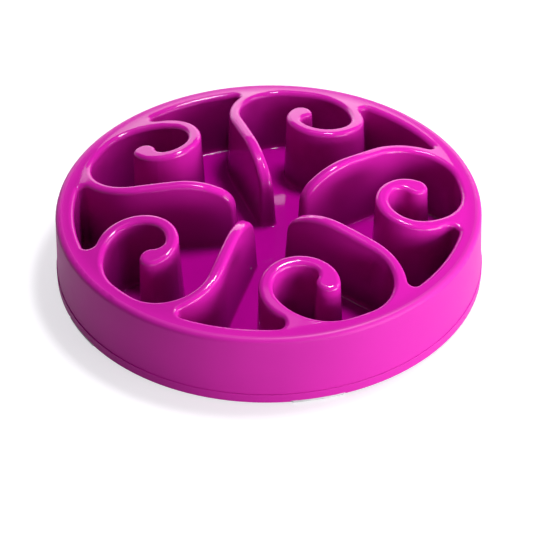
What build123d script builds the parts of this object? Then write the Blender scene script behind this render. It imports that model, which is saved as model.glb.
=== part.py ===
"""Slow feeder bowl: one moulded maze bowl standing on five push-in grip strips.

Millimetres, +Z up. The origin is on the bowl's axis, at the surface it stands on.
The front of the bowl, the side seen first, faces -Y.
"""
import os
from math import acos, asin, atan2, cos, degrees, radians, sin, sqrt, tan

from build123d import *

os.makedirs("parts", exist_ok=True)

# Outer form of the moulding
base_diameter = 279.4
lip_height = 6.5
lip_step = 0.6
lip_round = 0.45
rim_height = 48.8
rim_round = 3.6
outer_draft = 2.3
wall = 2.4

# Crown: the shallow dome that the tops of the ridges lie on, and its fall to the open hub
rim_band = 8.0
crown_radius = 570.0
crown_blend_radius = 34.0
crest_start_radius = 60.0
crest_ease_radius = 48.0
crest_fall = 30.0
hub_shoulder_radius = 17.0
ridge_round = 3.0

# Food space between the ridges, with plan sizes taken at the top of the crown
pocket_inset = 11.2
pocket_draft = 2.5
floor_lift = 0.35
floor_dome_radius = 850.0
floor_thickness = 2.4
floor_round = 1.4

# One scroll ridge: a straight blade, a turn along the rim, then a curl that ends in a bulb.
# Turn and curl are placed by angles at the bowl's axis, counted from the blade, and so follow its size.
# The angles of the curl's own parts are counted from the way that leads out from the axis to its centre
scroll_count = 5
blade_offset = 6.4
blade_hollow = 2.7
blade_inner_end = 8.0
blade_turn_angle = 24.78
blade_root_lead = 4.0
blade_root_flare = 15.0
blade_corner_ease = 0.6
curl_angle = 42.2
curl_half_angle = 15.79
curl_rim_gap = 5.2
curl_hollow = 3.2
curl_shoulder_gain = 18.5
curl_exit_angle = -47.8
curl_corner_ease = 1.4
tail_offset = 6.3
tail_angle = 127.2
bulb_radius = 7.0
bulb_angle = 76.2
notch_radius = 6.7

# Grip strips: arcs of soft rubber in notches of the lip, each with two pegs in ribs of the moulding
strip_count = 5
strip_angle = -78.0
strip_arc = 14.0
strip_width = 11.0
strip_setback = 0.3
strip_thickness = 2.1
strip_proud = 1.1
strip_corner_radius = 1.5
strip_edge_round = 0.4
strip_play = 0.2
peg_end_distance = 6.5
peg_diameter = 2.6
peg_length = 4.0
peg_chamfer = 0.5
socket_play = 0.05
socket_end_play = 0.3
socket_wall = 1.45

# Levels, radii and slopes that follow from the sizes above
lip_radius = base_diameter / 2
lip_level = strip_proud
step_level = lip_level + lip_height
cut_level = lip_level - 2 * wall
wall_foot_radius = lip_radius - lip_step
wall_lean = tan(radians(outer_draft))
wall_top_radius = wall_foot_radius - (rim_height - step_level) * wall_lean
crown_edge_radius = wall_top_radius - rim_band
crown_centre = rim_height - sqrt(crown_radius**2 - crown_edge_radius**2)
crown_top = crown_centre + crown_radius
pocket_radius = wall_top_radius - pocket_inset
pocket_lean = tan(radians(pocket_draft))
floor_edge_level = lip_level + floor_lift + floor_thickness
floor_edge_radius = pocket_radius - (crown_top - floor_edge_level) * pocket_lean + wall / 2
floor_centre = floor_edge_level - sqrt(floor_dome_radius**2 - floor_edge_radius**2)
corner_round = floor_round + (crown_top - floor_edge_level) * pocket_lean


def along(angle, length):
    """The plan vector of a given length at an angle in degrees."""
    return Vector(length * cos(radians(angle)), length * sin(radians(angle)))


def bearing(vector):
    """The plan angle of a vector, in degrees."""
    return degrees(atan2(vector.Y, vector.X))


def at_distances(first, first_length, second, second_length):
    """The point at given distances from two points, left of the way from the first to the second."""
    gap = second - first
    opening = (first_length**2 + gap.length**2 - second_length**2) / (2 * first_length * gap.length)
    return first + along(bearing(gap) + degrees(acos(opening)), first_length)


def reach(point, angle, radius):
    """The point met on the way from a point at an angle, at a radius from the axis."""
    nearest = point.dot(along(angle, 1))
    return point + along(angle, sqrt(nearest**2 - point.dot(point) + radius**2) - nearest)


# Radii and centres of the arcs of one scroll, where each arc touches the next
axis = Vector(0, 0)
blade_width = 2 * wall + blade_hollow
blade_outer_side = blade_offset - blade_width / 2
blade_inner_side = blade_offset + blade_width / 2
turn_rise = sin(radians(blade_turn_angle))
blade_turn_radius = (pocket_radius * turn_rise - blade_inner_side) / (1 + turn_rise)
turn_centre = along(180 - blade_turn_angle, pocket_radius - blade_turn_radius)
blade_root = turn_centre.X + blade_root_lead
blade_root_radius = blade_turn_radius + blade_root_flare
root_centre = Vector(blade_root, blade_outer_side + blade_root_radius)
blade_corner_radius = corner_round + blade_corner_ease
blade_corner = at_distances(
    axis, pocket_radius - blade_corner_radius, root_centre, blade_root_radius + blade_corner_radius
)
curl_distance = (pocket_radius - curl_rim_gap) / (1 + sin(radians(curl_half_angle)))
curl_centre = along(180 - curl_angle, curl_distance)
curl_radius = pocket_radius - curl_rim_gap - curl_distance
curl_inner_radius = curl_radius - 2 * wall - curl_hollow
shoulder_centre = at_distances(
    axis, pocket_radius - curl_inner_radius - curl_shoulder_gain, curl_centre, curl_shoulder_gain
)
curl_exit = 180 - curl_angle + curl_exit_angle
curl_tail = 180 - curl_angle + tail_angle
curl_end = 180 - curl_angle + bulb_angle
tail_radius = curl_radius - tail_offset
tail_centre = curl_centre + along(curl_tail, tail_offset)
bulb_centre = tail_centre + along(curl_end, tail_radius - bulb_radius)
notch_centre = at_distances(
    curl_centre, curl_inner_radius - notch_radius, bulb_centre, notch_radius + bulb_radius
)
curl_corner_radius = corner_round + curl_corner_ease
curl_corner = reach(
    curl_centre + along(curl_exit, curl_radius + curl_corner_radius),
    curl_exit + 90,
    pocket_radius - curl_corner_radius,
)
scroll_turn = -360 / scroll_count


def scroll_edge(growth):
    """Edge of the food space past one scroll, moved into the ridge by a growth.

    It runs clockwise: off the rim, in along the blade, out again, round the curl and back to the rim.
    """
    outer_side = blade_outer_side + growth
    inner_side = blade_inner_side - growth
    rim = pocket_radius + growth
    inner_curl = curl_inner_radius + growth
    outer_curl = curl_radius - growth
    start = along(bearing(blade_corner), rim)
    corner_end = root_centre + along(bearing(blade_corner - root_centre), blade_root_radius - growth)
    curl_top = curl_centre + along(curl_exit, outer_curl)
    corner_start = curl_corner - along(curl_exit, curl_corner_radius + growth)
    with BuildLine() as edge:
        run = TangentArc(start, corner_end, tangent=along(bearing(start) - 90, 1))
        run = TangentArc(run @ 1, (blade_root, outer_side), tangent=run % 1)
        Line(run @ 1, (-blade_inner_end, outer_side))
        Line((-blade_inner_end, outer_side), (-blade_inner_end, inner_side))
        run = Line((-blade_inner_end, inner_side), (turn_centre.X, inner_side))
        for point in (
            along(bearing(turn_centre), rim),
            along(bearing(shoulder_centre), rim),
            curl_centre + along(bearing(curl_centre - shoulder_centre), inner_curl),
            curl_centre + along(bearing(notch_centre - curl_centre), inner_curl),
            notch_centre + along(bearing(bulb_centre - notch_centre), notch_radius + growth),
            tail_centre + along(curl_end, tail_radius - growth),
            curl_centre + along(curl_tail, outer_curl),
            curl_top,
        ):
            run = TangentArc(run @ 1, point, tangent=run % 1)
        run = Line(curl_top, corner_start)
        run = TangentArc(run @ 1, along(bearing(curl_corner), rim), tangent=run % 1)
        TangentArc(run @ 1, along(bearing(start) + scroll_turn, rim), tangent=run % 1)
    return edge.line


def drafted_space(growth):
    """The space between the ridges, narrowing downwards from the top of the crown."""
    with BuildPart() as space:
        with BuildSketch(Plane.XY.offset(crown_top)):
            with BuildLine():
                for scroll in range(scroll_count):
                    add(scroll_edge(growth), rotation=scroll * scroll_turn)
            make_face()
        extrude(amount=crown_top - cut_level, taper=pocket_draft)
    return space.part


def draw_section(foot_level, foot_points):
    """Half section of the body: up the hub, over the crown, across the rim band and down to the foot."""
    crown_point = Vector(0, crown_centre)
    crest_angle = 90 - degrees(asin(crest_start_radius / crown_radius))
    ease_centre = crown_point + along(crest_angle, crown_radius - crest_ease_radius)
    shoulder_angle = 90 + crest_fall
    hub_centre = ease_centre + along(shoulder_angle, crest_ease_radius - hub_shoulder_radius)
    hub_top = hub_centre + along(180 - pocket_draft, hub_shoulder_radius)
    hub_foot = Vector(hub_top.X - (hub_top.Y - foot_level) * pocket_lean, foot_level)
    run = Line(hub_foot, hub_top)
    for point in (
        ease_centre + along(shoulder_angle, crest_ease_radius),
        crown_point + along(crest_angle, crown_radius),
        Vector(crown_edge_radius, rim_height),
    ):
        run = TangentArc(run @ 1, point, tangent=run % 1)
    Polyline(run @ 1, (wall_top_radius, rim_height), *foot_points, hub_foot)


def draw_floor(dome_radius, edge_radius):
    """Half section of what lies under a dome parallel to the floor, down to the cutting level."""
    sweep = degrees(asin(edge_radius / dome_radius))
    dome = CenterArc((0, floor_centre), dome_radius, 90, -sweep)
    Polyline(dome @ 1, (edge_radius, cut_level), (0, cut_level), dome @ 0)


def corners_at(sketch, radius):
    """The corners of a half section that stand at a radius from the axis."""
    return sketch.vertices().filter_by(lambda corner: abs(corner.X - radius) < lip_step / 2)


# Places of the strips and of their pegs around the lip
strip_outer_radius = lip_radius - strip_setback
strip_inner_radius = strip_outer_radius - strip_width
peg_circle_radius = strip_outer_radius - strip_width / 2
peg_angle = strip_arc / 2 - degrees(peg_end_distance / peg_circle_radius)
socket_diameter = peg_diameter + 2 * socket_play
strip_bearings = [strip_angle + strip * 360 / strip_count for strip in range(strip_count)]
peg_bearings = [middle + side * peg_angle for middle in strip_bearings for side in (-1, 1)]


def facing(angle, level):
    """A level plane whose X axis points outwards at an angle."""
    return Plane.XY.offset(level).rotated((0, 0, angle))


def draw_arc_plate(inner_radius, outer_radius, end_play):
    """Outline of an arc plate about the X axis, as long as a strip with some play at each end."""
    half_arc = strip_arc / 2 + degrees(end_play / peg_circle_radius)
    inner = CenterArc((0, 0), inner_radius, -half_arc, 2 * half_arc)
    outer = CenterArc((0, 0), outer_radius, -half_arc, 2 * half_arc)
    Line(inner @ 0, outer @ 0)
    Line(inner @ 1, outer @ 1)


# Hollow of the moulding, open from below: inside its skins and clear of the ribs that take the pegs,
# with the notches that the strips sit in and the sockets of their pegs
with BuildPart() as hollow:
    with BuildSketch(Plane.XZ) as inner_section:
        with BuildLine():
            wall_end = wall_foot_radius + (step_level - cut_level) * wall_lean
            draw_section(cut_level, [(wall_end, cut_level)])
        make_face()
        fillet(corners_at(inner_section, wall_top_radius), radius=rim_round)
        fillet(corners_at(inner_section, crown_edge_radius), radius=crown_blend_radius)
        offset(amount=-wall, mode=Mode.REPLACE)
    revolve(axis=Axis.Z)
    add(drafted_space(wall), mode=Mode.SUBTRACT)
    with BuildSketch(*[facing(angle, cut_level) for angle in peg_bearings]):
        with Locations((floor_edge_radius, 0)):
            Rectangle(lip_radius, socket_diameter + 2 * socket_wall, align=(Align.MIN, Align.CENTER))
    extrude(amount=rim_height - cut_level, mode=Mode.SUBTRACT)
    with BuildSketch(Plane.XZ):
        with BuildLine():
            draw_floor(floor_dome_radius - floor_thickness, floor_edge_radius + wall)
        make_face()
    revolve(axis=Axis.Z)
    with BuildSketch(*[facing(angle, cut_level) for angle in strip_bearings]):
        with BuildLine():
            draw_arc_plate(strip_inner_radius - strip_play, lip_radius + wall, strip_play)
        make_face()
    extrude(amount=strip_thickness - cut_level)
    with BuildSketch(*[facing(angle, cut_level) for angle in peg_bearings]):
        with Locations((peg_circle_radius, 0)):
            Circle(socket_diameter / 2)
    extrude(amount=strip_thickness + peg_length + socket_end_play - cut_level)

# Bowl: one moulding with the outer wall, the rim, the floor and the five scroll ridges
with BuildPart() as bowl_shell:
    with BuildSketch(Plane.XZ) as outer_section:
        with BuildLine():
            draw_section(
                lip_level,
                [(wall_foot_radius, step_level), (lip_radius, step_level), (lip_radius, lip_level)],
            )
        make_face()
        fillet(corners_at(outer_section, wall_top_radius), radius=rim_round)
        fillet(corners_at(outer_section, crown_edge_radius), radius=crown_blend_radius)
        fillet(corners_at(outer_section, lip_radius), radius=lip_round)
    revolve(axis=Axis.Z)
    add(drafted_space(0), mode=Mode.SUBTRACT)
    sharp_edges = bowl_shell.edges(Select.LAST).filter_by(GeomType.LINE, reverse=True)
    ridge_points = [edge @ 0.5 for edge in sharp_edges if (edge @ 0.5).Z > step_level]
    with BuildSketch(Plane.XZ):
        with BuildLine():
            draw_floor(floor_dome_radius, floor_edge_radius)
        make_face()
    revolve(axis=Axis.Z)
    add(hollow.part, mode=Mode.SUBTRACT)

    def on_ridge(edge):
        """Whether an edge is one of those noted along the ridges before the moulding was hollowed."""
        middle = edge @ 0.5
        return any((middle - point).length < lip_step for point in ridge_points)

    def on_floor(edge):
        """Whether an edge lies on the upper face of the floor, within the food space."""
        middle = edge @ 0.5
        off_dome = abs((middle - Vector(0, 0, floor_centre)).length - floor_dome_radius)
        return off_dome < lip_step / 2 and Vector(middle.X, middle.Y).length < floor_edge_radius

    curved_edges = bowl_shell.edges().filter_by(GeomType.LINE, reverse=True)
    fillet(curved_edges.filter_by(on_ridge), radius=ridge_round)
    curved_edges = bowl_shell.edges().filter_by(GeomType.LINE, reverse=True)
    fillet(curved_edges.filter_by(on_floor), radius=floor_round)

bowl_shell.part.label = "bowl_shell"
export_step(bowl_shell.part, "parts/bowl_shell.step")

# Grip strips: five like pieces of soft rubber, pushed up into the lip by their pegs
with BuildPart() as strip_pattern:
    with BuildSketch() as strip_plan:
        with BuildLine():
            draw_arc_plate(strip_inner_radius, strip_outer_radius, 0)
        make_face()
        fillet(strip_plan.vertices(), radius=strip_corner_radius)
    extrude(amount=strip_thickness)
    fillet(strip_pattern.edges().group_by(Axis.Z)[0], radius=strip_edge_round)
    with BuildSketch(facing(-peg_angle, strip_thickness), facing(peg_angle, strip_thickness)):
        with Locations((peg_circle_radius, 0)):
            Circle(peg_diameter / 2)
    extrude(amount=peg_length)
    chamfer(strip_pattern.edges().group_by(Axis.Z)[-1], length=peg_chamfer)

for number, middle in enumerate(strip_bearings, start=1):
    with BuildPart() as grip_strip:
        add(strip_pattern.part, rotation=(0, 0, middle))
    grip_strip.part.label = f"grip_strip_{number}"
    export_step(grip_strip.part, f"parts/grip_strip_{number}.step")
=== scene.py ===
from math import cos, radians, sin

import bmesh
import bpy
from mathutils import Matrix, Vector

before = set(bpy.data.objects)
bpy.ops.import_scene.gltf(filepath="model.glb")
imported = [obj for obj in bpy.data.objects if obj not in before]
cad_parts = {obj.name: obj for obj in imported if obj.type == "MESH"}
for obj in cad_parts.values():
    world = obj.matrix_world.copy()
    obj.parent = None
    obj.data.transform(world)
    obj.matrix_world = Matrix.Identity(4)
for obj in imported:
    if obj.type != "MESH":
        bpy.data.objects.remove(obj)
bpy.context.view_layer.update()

# Bowl: one injection moulding of magenta plastic, with the outer wall, the floor and five scroll
# ridges in a single piece. The polished steel core leaves the ridges and pockets gleaming, and the
# eroded cavity leaves the wall satin. The floor is a thin skin over pale ground. Inside, the colour
# is painted darker as painted shade: deepest low on the pocket walls, a little lighter on the floors.
MAGENTA = (0.62, 0.013, 0.385, 1.0)
# Painted shade: the pocket walls are painted darker towards the floors, down to this magenta.
PAINTED_SHADE_MAGENTA = (0.22, 0.001, 0.152, 1.0)
# Painted shade on the pocket floors, a little lighter than low on the walls.
FLOOR_PAINTED_SHADE_MAGENTA = (0.41, 0.001, 0.262, 1.0)
FLOOR_TOP = 0.01307
FLOOR_DOME_RADIUS = 0.850
# Height above the floor of the zone that takes the floors' painted shade and smoother polish.
FLOOR_ZONE_HEIGHT = 0.005
# Heights above the floor between which the painted shade on the walls goes from full to none.
PAINTED_SHADE_FULL_HEIGHT = 0.004
PAINTED_SHADE_END_HEIGHT = 0.046
CLOUD_SHARE = 0.16
CLOUD_EDGES = (0.3, 0.7)
PIGMENT_CLOUDS_PER_METRE = 11.0
POLISHED_ROUGHNESS = 0.075
FLOOR_ROUGHNESS = 0.05
SATIN_ROUGHNESS = 0.52
SATIN_START_RADIUS = 0.1295
SATIN_FULL_RADIUS = 0.1375
SCUFFS_PER_METRE = 55.0
SCUFF_EDGES = (0.55, 0.75)
SCUFF_ROUGHNESS = 0.03
PEEL_WAVES_PER_METRE = 420.0
PEEL_DEPTH = 0.000012
GRAIN_SPOTS_PER_METRE = 2600.0
GRAIN_DEPTH = 0.000010
PLASTIC_IOR = 1.5
PLASTIC_GLOSS = 0.25


class Wire:
    """A socket of a node tree. Arithmetic on it adds Math nodes."""

    def __init__(self, tree, socket=None):
        self.tree = tree
        self.socket = socket

    def node(self, kind, settings=None, sockets=None, output=0):
        """A wire from an output of a new node, whose settings are made before its sockets."""
        node = self.tree.nodes.new(kind)
        for name, value in (settings or {}).items():
            setattr(node, name, value)
        for name, value in (sockets or {}).items():
            socket = next(entry for entry in node.inputs if entry.identifier == name)
            if isinstance(value, Wire):
                self.tree.links.new(value.socket, socket)
            else:
                socket.default_value = value
        return Wire(self.tree, node.outputs[output] if node.outputs else None)

    def math(self, operation, first, second):
        sockets = {"Value": first, "Value_001": second}
        return self.node("ShaderNodeMath", {"operation": operation}, sockets)

    def __add__(self, other):
        return self.math("ADD", self, other)

    def __radd__(self, other):
        return self.math("ADD", other, self)

    def __sub__(self, other):
        return self.math("SUBTRACT", self, other)

    def __rsub__(self, other):
        return self.math("SUBTRACT", other, self)

    def __mul__(self, other):
        return self.math("MULTIPLY", self, other)

    def __rmul__(self, other):
        return self.math("MULTIPLY", other, self)

    def __pow__(self, other):
        return self.math("POWER", self, other)

    def ease(self, low, high):
        """This value as a smooth step from 0 at low to 1 at high."""
        settings = {"interpolation_type": "SMOOTHSTEP"}
        sockets = {"Value": self, "From Min": low, "From Max": high}
        return self.node("ShaderNodeMapRange", settings, sockets)

    def tint(self, low, high):
        """A colour between two, by this value from 0 to 1."""
        settings = {"data_type": "RGBA"}
        sockets = {"Factor_Float": self, "A_Color": low, "B_Color": high}
        return self.node("ShaderNodeMix", settings, sockets, output=2)


def blank_material(name):
    """A new material with an empty node tree, and a wire to build on it."""
    material = bpy.data.materials.new(name)
    material.use_nodes = True
    material.node_tree.nodes.clear()
    return material, Wire(material.node_tree)


def noise(tree, place, spots_per_metre, detail):
    """Even noise from 0 to 1 with so many spots in a metre."""
    sockets = {"Vector": place, "Scale": spots_per_metre, "Detail": detail}
    return tree.node("ShaderNodeTexNoise", {}, sockets)


def finish_material(tree, sockets):
    """Closes a material with a surface of the given sockets."""
    surface = tree.node("ShaderNodeBsdfPrincipled", {}, sockets)
    tree.node("ShaderNodeOutputMaterial", {}, {"Surface": surface})


def moulded_magenta():
    """Magenta plastic, polished inside and on the crown, satin on the outer wall, with painted shade
    in the pockets.
    """
    material, tree = blank_material("moulded_magenta")
    place = tree.node("ShaderNodeTexCoord", output="Object")
    x, y, z = (tree.node("ShaderNodeSeparateXYZ", {}, {"Vector": place}, axis) for axis in "XYZ")
    reach_squared = x * x + y * y
    satin = (reach_squared ** 0.5).ease(SATIN_START_RADIUS, SATIN_FULL_RADIUS)
    above_floor = z - FLOOR_TOP + reach_squared * (0.5 / FLOOR_DOME_RADIUS)
    clouds = noise(tree, place, PIGMENT_CLOUDS_PER_METRE, detail=3.0)
    scuffs = noise(tree, place, SCUFFS_PER_METRE, detail=4.0).ease(*SCUFF_EDGES)
    grain = noise(tree, place, GRAIN_SPOTS_PER_METRE, detail=1.0)
    peel = noise(tree, place, PEEL_WAVES_PER_METRE, detail=1.0)
    # Painted shade: the pocket walls grow darker the nearer they are to the floor; none on the satin
    # outer wall.
    painted_wall_shade = (1 - above_floor.ease(PAINTED_SHADE_FULL_HEIGHT, PAINTED_SHADE_END_HEIGHT)) * (1 - satin)
    # The pocket floors take a lighter painted shade and a smoother polish; the satin outer wall takes
    # neither.
    floor_lift = (1 - above_floor.ease(0.0, FLOOR_ZONE_HEIGHT)) * (1 - satin)
    # The painted shade, with random pigment clouds mixed in.
    shade = painted_wall_shade * (1 - CLOUD_SHARE) + clouds.ease(*CLOUD_EDGES) * CLOUD_SHARE
    colour = floor_lift.tint(shade.tint(MAGENTA, PAINTED_SHADE_MAGENTA), FLOOR_PAINTED_SHADE_MAGENTA)
    polish = POLISHED_ROUGHNESS + floor_lift * (FLOOR_ROUGHNESS - POLISHED_ROUGHNESS)
    finish = polish + satin * (SATIN_ROUGHNESS - POLISHED_ROUGHNESS)
    height = peel * PEEL_DEPTH * (1 - satin) + grain * GRAIN_DEPTH * satin
    finish_material(tree, {
        "Base Color": colour,
        "Roughness": finish + SCUFF_ROUGHNESS * scuffs,
        "IOR": PLASTIC_IOR,
        "Specular IOR Level": PLASTIC_GLOSS,
        "Normal": tree.node("ShaderNodeBump", {}, {"Distance": 1.0, "Height": height}),
    })
    return material


def dress(node, material):
    """Gives every slot of a node the material."""
    for slot in bpy.data.objects[node].material_slots:
        slot.material = material


dress("bowl_shell", moulded_magenta())

# Grip strips: five arcs of soft translucent rubber, moulded apart from the bowl. Each is pushed up
# into a notch of the lip by two pegs and stands a little proud of it, so that the bowl doesn't slide.
STRIP_COUNT = 5
RUBBER_PALE = (0.72, 0.71, 0.73, 1.0)
RUBBER_GREY = (0.60, 0.59, 0.62, 1.0)
RUBBER_CLOUDS_PER_METRE = 120.0
RUBBER_ROUGHNESS = 0.48
RUBBER_GRAIN_ROUGHNESS = 0.14
RUBBER_GRAIN_PER_METRE = 3000.0
RUBBER_GRAIN_DEPTH = 0.00002
RUBBER_GLOW_SHARE = 0.35
RUBBER_GLOW_SPREAD = (1.0, 0.95, 0.97)
RUBBER_GLOW_DEPTH = 0.0015


def soft_rubber():
    """Milky soft rubber with a fine matt grain."""
    material, tree = blank_material("soft_rubber")
    place = tree.node("ShaderNodeTexCoord", output="Object")
    clouds = noise(tree, place, RUBBER_CLOUDS_PER_METRE, detail=3.0)
    grain = noise(tree, place, RUBBER_GRAIN_PER_METRE, detail=2.0)
    height = grain * RUBBER_GRAIN_DEPTH
    finish_material(tree, {
        "Base Color": clouds.ease(*CLOUD_EDGES).tint(RUBBER_GREY, RUBBER_PALE),
        "Roughness": RUBBER_ROUGHNESS + RUBBER_GRAIN_ROUGHNESS * grain,
        "Subsurface Weight": RUBBER_GLOW_SHARE,
        "Subsurface Radius": RUBBER_GLOW_SPREAD,
        "Subsurface Scale": RUBBER_GLOW_DEPTH,
        "Normal": tree.node("ShaderNodeBump", {}, {"Distance": 1.0, "Height": height}),
    })
    return material


rubber = soft_rubber()
for strip in range(1, STRIP_COUNT + 1):
    dress(f"grip_strip_{strip}", rubber)

# Floor: a wide seamless sheet of matt white paper that the bowl stands on. It reads as white to the
# camera and in gloss, and still takes the bowl's soft shadow. It lies a hair below the strips, so
# that no two faces share a plane.
FLOOR_HALF_WIDTH = 4.0
FLOOR_SQUARES = 8
FLOOR_DROP = 0.0001
PAPER_WHITE = (0.46, 0.46, 0.465, 1.0)
PAPER_SHADE = (0.45, 0.45, 0.455, 1.0)
PAPER_FIBRES_PER_METRE = 900.0
PAPER_LIFT = 0.69
PAPER_LIFT_TINT = (0.975, 0.96, 1.0, 1.0)
WHITE_RAYS = ("Is Camera Ray", "Is Glossy Ray", "Is Transmission Ray")


def white_paper():
    """Matt paper, lifted towards white where the camera, a gloss or a clear piece sees it."""
    material, tree = blank_material("white_paper")
    place = tree.node("ShaderNodeTexCoord", output="Object")
    fibres = noise(tree, place, PAPER_FIBRES_PER_METRE, detail=2.0)
    colour = fibres.tint(PAPER_SHADE, PAPER_WHITE)
    matt = tree.node("ShaderNodeBsdfDiffuse", {}, {"Color": colour})
    seen = sum(tree.node("ShaderNodeLightPath", output=ray) for ray in WHITE_RAYS)
    floor_lift = {"Color": PAPER_LIFT_TINT, "Strength": seen * PAPER_LIFT}
    lift = tree.node("ShaderNodeEmission", {}, floor_lift)
    surface = tree.node("ShaderNodeAddShader", {}, {"Shader": matt, "Shader_001": lift})
    tree.node("ShaderNodeOutputMaterial", {}, {"Surface": surface})
    return material


floor_mesh = bpy.data.meshes.new("floor")
sheet = bmesh.new()
bmesh.ops.create_grid(
    sheet, x_segments=FLOOR_SQUARES, y_segments=FLOOR_SQUARES, size=FLOOR_HALF_WIDTH
)
sheet.to_mesh(floor_mesh)
sheet.free()
floor_mesh.materials.append(white_paper())
floor = bpy.data.objects.new("floor", floor_mesh)
floor.location.z = -FLOOR_DROP
bpy.context.collection.objects.link(floor)

# Studio: a dim room with soft boxes turned to the bowl. A small key box hangs above it to the right,
# with a weak wide one beside it. A strong box stands low at the right front, a panel stands at the
# right, and long low panels stand in front and behind.
BOWL_MIDDLE = Vector((0.0, 0.0, 0.03))
WATTS_PER_RADIANCE = 4.0
ROOM_GREY = (0.03, 0.03, 0.033, 1.0)
BACKDROP_WHITE = (1.0, 1.0, 1.0, 1.0)
BACKDROP_TOP = 0.28


def soft_box(name, place, wide, high, radiance):
    """An area light at a place, turned to the bowl, with its size in metres and its radiance."""
    lamp = bpy.data.lights.new(name, "AREA")
    lamp.shape = "RECTANGLE"
    lamp.size = wide
    lamp.size_y = high
    lamp.energy = WATTS_PER_RADIANCE * radiance * wide * high
    box = bpy.data.objects.new(name, lamp)
    box.location = place
    box.rotation_euler = (Vector(place) - BOWL_MIDDLE).to_track_quat("Z", "Y").to_euler()
    box.visible_camera = False
    bpy.context.collection.objects.link(box)


soft_box("key_box", (0.20, 0.15, 0.90), wide=0.26, high=0.15, radiance=47.0)
soft_box("top_box", (-0.10, 0.20, 0.92), wide=0.40, high=0.30, radiance=1.2)
soft_box("right_front_box", (0.70, -0.52, 0.17), wide=0.55, high=0.30, radiance=10.2)
soft_box("right_panel", (0.78, 0.02, 0.38), wide=0.45, high=0.25, radiance=4.0)
soft_box("front_panel", (0.30, -1.25, 0.09), wide=1.20, high=0.16, radiance=4.8)
soft_box("back_panel", (0.00, 0.70, 0.24), wide=1.00, high=0.28, radiance=2.0)

world = bpy.data.worlds.new("studio_room")
world.use_nodes = True
world.node_tree.nodes.clear()
room = Wire(world.node_tree)
gaze = room.node("ShaderNodeTexCoord", output="Generated")
rise = room.node("ShaderNodeSeparateXYZ", {}, {"Vector": gaze}, "Z")
camera_ray, gloss_ray, clear_ray = (
    room.node("ShaderNodeLightPath", output=ray) for ray in WHITE_RAYS
)
white = camera_ray + clear_ray + gloss_ray * (1 - rise.ease(0.0, BACKDROP_TOP))
backdrop = {"Color": white.tint(ROOM_GREY, BACKDROP_WHITE)}
air = room.node("ShaderNodeBackground", {}, backdrop)
room.node("ShaderNodeOutputWorld", {}, {"Surface": air})
bpy.context.scene.world = world

# Camera: a long lens in front of the bowl and above it, rolled a little to one side. The picture is
# square, 540 pixels each way, and the lens is given by its focal length in those pixels.
FRAME_PIXELS = 540
FOCAL_PIXELS = 2126.1
SENSOR_WIDTH = 36.0
CAMERA_ELEVATION = radians(38.864)
CAMERA_ROLL = radians(-0.82)
CAMERA_DISTANCE = 1.3201
CAMERA_TARGET = Vector((0.000406, -0.06927, 0.04839))

lens = bpy.data.cameras.new("camera")
lens.sensor_width = SENSOR_WIDTH
lens.lens = SENSOR_WIDTH * FOCAL_PIXELS / FRAME_PIXELS
camera = bpy.data.objects.new("camera", lens)
ahead = Vector((0.0, cos(CAMERA_ELEVATION), -sin(CAMERA_ELEVATION)))
level_right = Vector((1.0, 0.0, 0.0))
level_up = level_right.cross(ahead)
right = cos(CAMERA_ROLL) * level_right + sin(CAMERA_ROLL) * level_up
up = cos(CAMERA_ROLL) * level_up - sin(CAMERA_ROLL) * level_right
turn = Matrix((right, up, -ahead)).transposed().to_4x4()
camera.matrix_world = Matrix.Translation(CAMERA_TARGET - ahead * CAMERA_DISTANCE) @ turn
bpy.context.collection.objects.link(camera)
bpy.context.scene.camera = camera
bpy.context.scene.view_settings.view_transform = "Standard"
